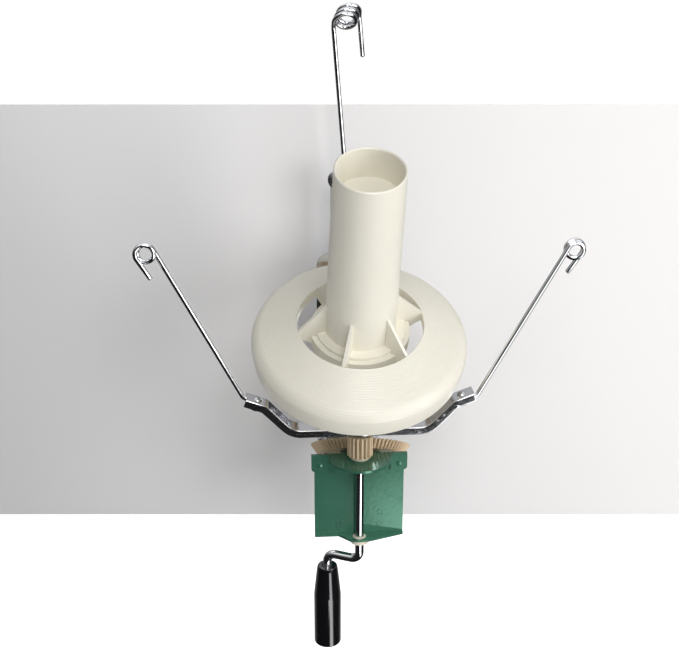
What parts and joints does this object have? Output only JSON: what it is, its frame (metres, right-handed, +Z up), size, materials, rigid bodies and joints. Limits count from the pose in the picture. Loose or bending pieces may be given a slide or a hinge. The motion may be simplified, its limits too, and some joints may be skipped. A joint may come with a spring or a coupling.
{
  "type": "yarn ball winder",
  "caption": "Table-clamped yarn ball winder: an underside crank turns a leaning flanged bobbin that rolls round a fixed gear, with a tilted gear wheel and wire yarn guides.",
  "frame": {"origin": "on the table face under the clamp's upper jaw, on the axis of the clamp screw", "axes": "+Z up along the crank shaft, -Y towards the side where the operator turns the crank, +X to the operator's right"},
  "size_m": [0.2802, 0.1858, 0.4319],
  "materials": {
    "green_paint": "hammered gloss enamel",
    "chrome": "bright chrome plate",
    "zinc_plate": "bright zinc plate",
    "tan_plastic": "satin",
    "ivory_plastic": "satin gloss",
    "bush_plastic": "satin",
    "black_plastic": "gloss"
  },
  "bodies": {
    "base": {"frame": "green_paint", "bearing_plate": "green_paint", "plate_rivets": "green_paint", "upper_bush": "bush_plastic", "lower_bush": "bush_plastic", "wheel_axle": "zinc_plate", "wheel_washer": "zinc_plate", "wheel_nut": "zinc_plate", "wheel_bracket": "green_paint", "bracket_rivets": "green_paint", "guide_bar": "chrome", "back_arm": "chrome", "back_plate": "chrome", "sun_post": "tan_plastic", "sun_gear": "tan_plastic", "hub_screws": "zinc_plate", "hub_nuts": "zinc_plate", "arm_bolts": "zinc_plate", "arm_nuts": "zinc_plate", "foot_screws": "zinc_plate", "left_guide": "chrome", "right_guide": "chrome", "back_guide": "chrome", "guide_screws": "zinc_plate", "guide_nuts": "zinc_plate", "base_bracket": "green_paint", "clamp_jaw": "green_paint", "jaw_screws": "zinc_plate", "jaw_nuts": "zinc_plate", "clamp_boss": "zinc_plate"},
    "crank": {"crank": "chrome", "pinion": "tan_plastic", "pinion_pin": "zinc_plate", "thrust_collar": "zinc_plate", "spindle_cap": "zinc_plate", "grip_washer": "zinc_plate"},
    "grip": {"grip": "black_plastic"},
    "wheel": {"wheel": "tan_plastic"},
    "bobbin": {"bobbin_tube": "ivory_plastic", "tube_plug": "ivory_plastic", "bobbin_flange": "ivory_plastic", "bobbin_hub": "ivory_plastic", "ring_gear": "tan_plastic", "lower_bobbin_bush": "bush_plastic", "upper_bobbin_bush": "bush_plastic"},
    "clamp_pad": {"clamp_pad": "zinc_plate"},
    "clamp_screw": {"clamp_screw": "zinc_plate", "tommy_bar": "zinc_plate"}
  },
  "joints": [
    {"name": "crank_turn", "type": "hinge", "parent": "base", "child": "crank", "pos_m": [0, -0.082, 0.0385], "axis": [0, 0, 1], "continuous": true},
    {"name": "grip_spin", "type": "hinge", "parent": "crank", "child": "grip", "pos_m": [-0.0213, -0.07207, -0.0795], "axis": [0, 0, 1], "continuous": true},
    {"name": "bobbin_roll", "type": "hinge", "parent": "crank", "child": "bobbin", "pos_m": [0, -0.082, 0.1387], "axis": [0, -0.4555, 0.8902], "continuous": true},
    {"name": "wheel_turn", "type": "hinge", "parent": "base", "child": "wheel", "pos_m": [0.00322, -0.04854, 0.02746], "axis": [0.0543, 0.5638, 0.8241], "continuous": true},
    {"name": "clamp_travel", "type": "slide", "parent": "base", "child": "clamp_pad", "axis": [0, 0, 1], "range_m": [0, 0.022]},
    {"name": "screw_turn", "type": "hinge", "parent": "clamp_pad", "child": "clamp_screw", "pos_m": [0, 0, -0.0515], "axis": [0, 0, 1], "range_deg": [0, 6336.1]}
  ],
  "couplings": [
    {"joint": "bobbin_roll", "follows": "crank_turn", "ratio": -0.53571},
    {"joint": "wheel_turn", "follows": "crank_turn", "ratio": -0.24286},
    {"joint": "screw_turn", "follows": "clamp_travel", "rad_per_m": 5026.5}
  ]
}
